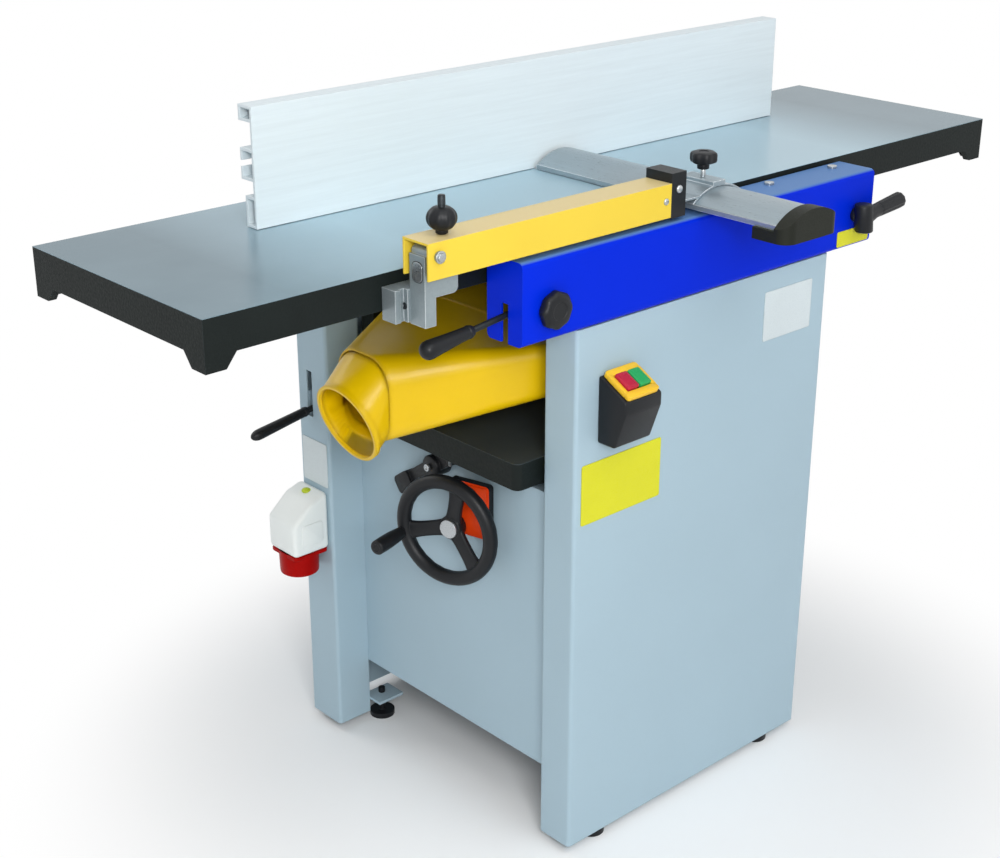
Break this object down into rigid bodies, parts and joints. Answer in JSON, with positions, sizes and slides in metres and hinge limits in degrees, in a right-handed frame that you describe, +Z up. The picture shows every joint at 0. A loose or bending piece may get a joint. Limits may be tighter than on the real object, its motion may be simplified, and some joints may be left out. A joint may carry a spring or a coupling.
{
  "type": "planer thicknesser",
  "caption": "Combination planer thicknesser on a folded sheet metal stand with tilting tables, guard, fence, lifting bed, dust hood and handwheel.",
  "frame": {"origin": "on the floor under the middle of the machine's outline", "axes": "+X along the tables to the outfeed end, +Y to the rear behind the fence, +Z up"},
  "size_m": [1.63, 0.7808, 1.171],
  "materials": {
    "body_paint": "satin",
    "rail_paint": "gloss",
    "cast_paint": "painted",
    "guard_paint": "satin",
    "hood_paint": "satin",
    "pale_alu": "anodised",
    "steel": "machined",
    "black_plastic": "matte",
    "motor_paint": "satin",
    "belt_rubber": "matte",
    "white_plastic": "satin",
    "red_plastic": "gloss",
    "green_plastic": "gloss",
    "yellow_plastic": "satin"
  },
  "bodies": {
    "stand": {"front_panel": "body_paint", "rear_housing": "body_paint", "belt_cover": "body_paint", "left_end_panel": "body_paint", "right_end_panel": "body_paint", "front_frame": "cast_paint", "rear_frame": "cast_paint", "cross_beam": "cast_paint", "foot_brackets": "body_paint", "levelling_feet": "black_plastic", "hinge_brackets": "body_paint", "hinge_pins": "steel", "guide_rail": "rail_paint", "rail_blocks": "cast_paint", "rail_screws": "steel", "bare_plates": "white_plastic", "motor": "motor_paint", "cutter_bearings": "steel", "switch_box": "black_plastic", "switch_lid": "yellow_plastic", "inlet_housing": "white_plastic", "inlet_shroud": "red_plastic", "position_indicator": "black_plastic", "drive_belt": "belt_rubber"},
    "left_table": {"left_table": "cast_paint", "guard_clamp": "pale_alu", "guard_post": "pale_alu", "fence_bracket": "cast_paint"},
    "right_table": {"right_table": "cast_paint"},
    "guard_arm": {"guard_arm": "guard_paint", "arm_end_plate": "black_plastic", "guard_holder": "pale_alu"},
    "guard_blade": {"guard_blade": "pale_alu", "blade_end_cap": "black_plastic"},
    "height_knob": {"height_knob": "black_plastic"},
    "holder_knob": {"holder_knob": "black_plastic"},
    "fence_bar": {"fence_bar": "steel"},
    "fence": {"fence": "pale_alu"},
    "fence_handle": {"fence_handle": "black_plastic"},
    "left_lever": {"left_lever": "steel"},
    "right_lever": {"right_lever": "black_plastic"},
    "rail_knob": {"rail_knob": "black_plastic"},
    "feed_lever": {"feed_lever": "steel"},
    "bed_lock": {"bed_lock": "black_plastic"},
    "bed": {"thickness_bed": "cast_paint", "bed_columns": "steel", "lift_screw": "steel"},
    "handwheel": {"handwheel": "black_plastic", "wheel_cap": "steel", "lift_shaft": "steel"},
    "wheel_grip": {"wheel_grip": "black_plastic"},
    "lift_gear": {"lift_gear": "steel"},
    "dust_hood": {"dust_hood": "hood_paint"},
    "cutterhead": {"cutterhead": "steel", "cutter_pulley": "steel"},
    "motor_pulley": {"motor_pulley": "steel"},
    "feed_rollers_in": {"feed_rollers_in": "steel"},
    "feed_roller_out": {"feed_roller_out": "steel"},
    "red_button": {"red_button": "red_plastic"},
    "green_button": {"green_button": "green_plastic"}
  },
  "joints": [
    {"name": "left_tilt", "type": "hinge", "parent": "stand", "child": "left_table", "pos_m": [-0.1615, 0.35462, 0.98], "axis": [-1, 0, 0], "range_deg": [0, 90]},
    {"name": "right_tilt", "type": "hinge", "parent": "stand", "child": "right_table", "pos_m": [0.206, 0.35462, 0.98], "axis": [-1, 0, 0], "range_deg": [0, 90]},
    {"name": "arm_tilt", "type": "hinge", "parent": "left_table", "child": "guard_arm", "pos_m": [-0.511, -0.19738, 1.031], "axis": [0, -1, 0], "range_deg": [0, 20]},
    {"name": "blade_slide", "type": "slide", "parent": "guard_arm", "child": "guard_blade", "axis": [0, -1, 0], "range_m": [0, 0.2]},
    {"name": "height_turn", "type": "hinge", "parent": "guard_arm", "child": "height_knob", "pos_m": [-0.484, -0.19738, 1.06], "axis": [0, 0, 1], "continuous": true},
    {"name": "holder_turn", "type": "hinge", "parent": "guard_arm", "child": "holder_knob", "pos_m": [0.029, -0.18338, 1.06], "axis": [0, 0, 1], "continuous": true},
    {"name": "fence_slide", "type": "slide", "parent": "left_table", "child": "fence_bar", "axis": [0, 1, 0], "range_m": [0, 0.08]},
    {"name": "fence_tilt", "type": "hinge", "parent": "fence_bar", "child": "fence", "pos_m": [-0.145, 0.16662, 1.028], "axis": [-1, 0, 0], "range_deg": [0, 45]},
    {"name": "fence_clamp", "type": "hinge", "parent": "left_table", "child": "fence_handle", "pos_m": [-0.145, 0.31662, 1.06], "axis": [0, 0, 1], "range_deg": [-30, 30]},
    {"name": "left_lock", "type": "hinge", "parent": "stand", "child": "left_lever", "pos_m": [-0.317, -0.19138, 0.92], "axis": [0, -1, 0], "range_deg": [0, 40]},
    {"name": "right_lock", "type": "hinge", "parent": "stand", "child": "right_lever", "pos_m": [0.349, -0.23038, 0.928], "axis": [0, 1, 0], "range_deg": [0, 60]},
    {"name": "rail_turn", "type": "hinge", "parent": "stand", "child": "rail_knob", "pos_m": [-0.317, -0.23038, 0.92], "axis": [0, 1, 0], "continuous": true},
    {"name": "feed_engage", "type": "hinge", "parent": "stand", "child": "feed_lever", "pos_m": [-0.262, 0.35162, 0.608], "axis": [0, 1, 0], "range_deg": [0, 20]},
    {"name": "bed_clamp", "type": "hinge", "parent": "stand", "child": "bed_lock", "pos_m": [-0.255, 0.08862, 0.572], "axis": [1, 0, 0], "range_deg": [0, 20]},
    {"name": "bed_lift", "type": "slide", "parent": "stand", "child": "bed", "axis": [0, 0, 1], "range_m": [0, 0.03]},
    {"name": "wheel_spin", "type": "hinge", "parent": "stand", "child": "handwheel", "pos_m": [-0.29876, 0.01921, 0.495], "axis": [-0.9659, -0.2588, 0], "range_deg": [0, 2700]},
    {"name": "grip_spin", "type": "hinge", "parent": "handwheel", "child": "wheel_grip", "pos_m": [-0.36244, 0.08301, 0.47552], "axis": [0.9659, 0.2588, 0], "continuous": true},
    {"name": "gear_spin", "type": "hinge", "parent": "stand", "child": "lift_gear", "pos_m": [0.02, 0.10462, 0.52], "axis": [0, 0, 1], "range_deg": [0, 2700]},
    {"name": "hood_swing", "type": "hinge", "parent": "stand", "child": "dust_hood", "pos_m": [0.169, 0.05462, 0.835], "axis": [0, 1, 0], "range_deg": [0, 12]},
    {"name": "cutter_spin", "type": "hinge", "parent": "stand", "child": "cutterhead", "pos_m": [0.029, 0.05462, 0.955], "axis": [0, 1, 0], "continuous": true},
    {"name": "motor_spin", "type": "hinge", "parent": "stand", "child": "motor_pulley", "pos_m": [-0.13, 0.33462, 0.3], "axis": [0, 1, 0], "continuous": true},
    {"name": "infeed_spin", "type": "hinge", "parent": "stand", "child": "feed_rollers_in", "pos_m": [-0.056, 0.05462, 0.913], "axis": [0, 1, 0], "continuous": true},
    {"name": "outfeed_spin", "type": "hinge", "parent": "stand", "child": "feed_roller_out", "pos_m": [0.114, 0.05462, 0.913], "axis": [0, 1, 0], "continuous": true},
    {"name": "red_press", "type": "slide", "parent": "stand", "child": "red_button", "axis": [0, 0.4603, -0.8878], "range_m": [0, 0.004], "stiffness_N_per_m": 1200},
    {"name": "green_press", "type": "slide", "parent": "stand", "child": "green_button", "axis": [0, 0.4603, -0.8878], "range_m": [0, 0.004], "stiffness_N_per_m": 1200}
  ],
  "couplings": [
    {"joint": "right_tilt", "follows": "left_tilt", "ratio": 1},
    {"joint": "wheel_spin", "follows": "bed_lift", "rad_per_m": 1570.8},
    {"joint": "gear_spin", "follows": "bed_lift", "rad_per_m": 1570.8},
    {"joint": "motor_spin", "follows": "cutter_spin", "ratio": 0.50382},
    {"joint": "outfeed_spin", "follows": "infeed_spin", "ratio": 1}
  ]
}
